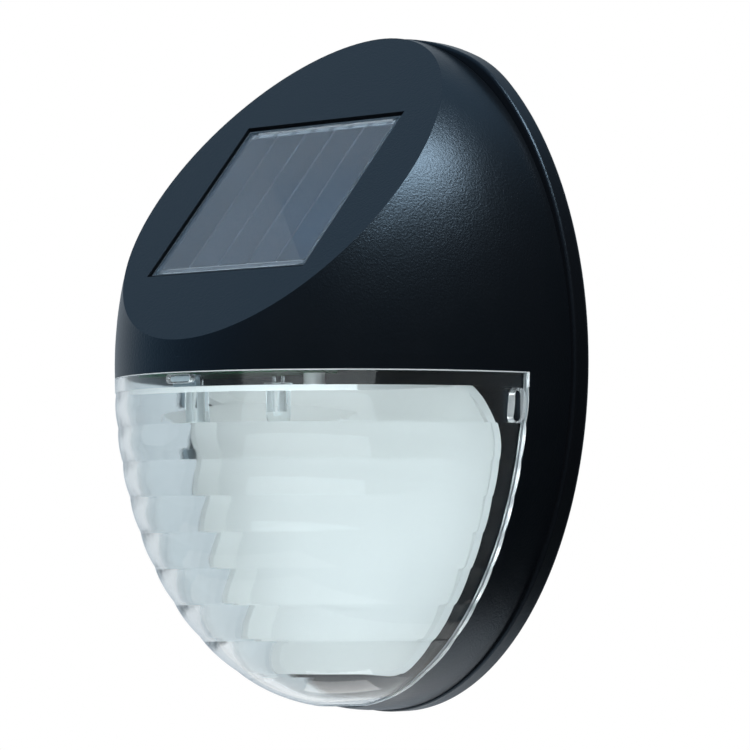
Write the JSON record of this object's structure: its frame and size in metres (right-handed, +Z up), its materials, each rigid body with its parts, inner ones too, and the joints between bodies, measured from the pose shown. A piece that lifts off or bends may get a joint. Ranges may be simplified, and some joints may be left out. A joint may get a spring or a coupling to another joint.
{
  "type": "solar wall light",
  "caption": "Oval dome wall light: black shell with a solar panel in its sloped face above a clear ribbed lens over a white reflector, hung on keyholes, with a switch and battery lid behind.",
  "frame": {"origin": "on the wall plane, midway between the two keyholes", "axes": "+Z up, +Y into the wall, -Y out of the wall towards the viewer, X level along the wall"},
  "size_m": [0.108, 0.0666, 0.1459],
  "materials": {
    "black_shell": "black moulded plastic, fine pebble texture, slight sheen",
    "clear_lens": "clear moulded plastic",
    "white_tray": "white moulded plastic, glossy",
    "clear_lamp": "clear epoxy",
    "clear_resin": "clear resin, satin",
    "silicon": "blue-grey silicon",
    "tinned_copper": "tinned",
    "panel_laminate": "grey laminate",
    "foam": "black foam",
    "circuit_laminate": "green laminate",
    "chip_case": "black moulding",
    "coil_case": "pale green lacquer",
    "zinc_steel": "zinc plated",
    "cell_wrap": "plain green film over the can",
    "plated_spring": "nickel plated",
    "switch_case": "brown phenolic",
    "knob_black": "black moulded plastic",
    "lead_red": "insulation"
  },
  "bodies": {
    "light": {"front_housing": "black_shell", "rear_cover": "black_shell", "lens": "clear_lens", "reflector": "white_tray", "leds": "clear_lamp", "panel_cover": "clear_resin", "solar_cells": "silicon", "cell_ribbons": "tinned_copper", "panel_board": "panel_laminate", "panel_seal": "foam", "circuit_board": "circuit_laminate", "controller_chip": "chip_case", "inductor": "coil_case", "board_screws": "zinc_steel", "battery_cell": "cell_wrap", "positive_contact": "plated_spring", "negative_contact": "plated_spring", "switch_frame": "plated_spring", "switch_body": "switch_case", "switch_screws": "zinc_steel", "housing_screws": "zinc_steel", "rear_gasket": "foam", "panel_leads": "lead_red", "battery_leads": "lead_red", "switch_lead": "lead_red"},
    "knob": {"switch_knob": "knob_black"},
    "lid": {"battery_door": "black_shell", "door_screws": "zinc_steel"}
  },
  "joints": [
    {"name": "switch_slide", "type": "slide", "parent": "light", "child": "knob", "axis": [1, 0, 0], "range_m": [0, 0.004]},
    {"name": "lid_lift", "type": "slide", "parent": "light", "child": "lid", "axis": [0, 1, 0], "range_m": [0, 0.03]}
  ]
}
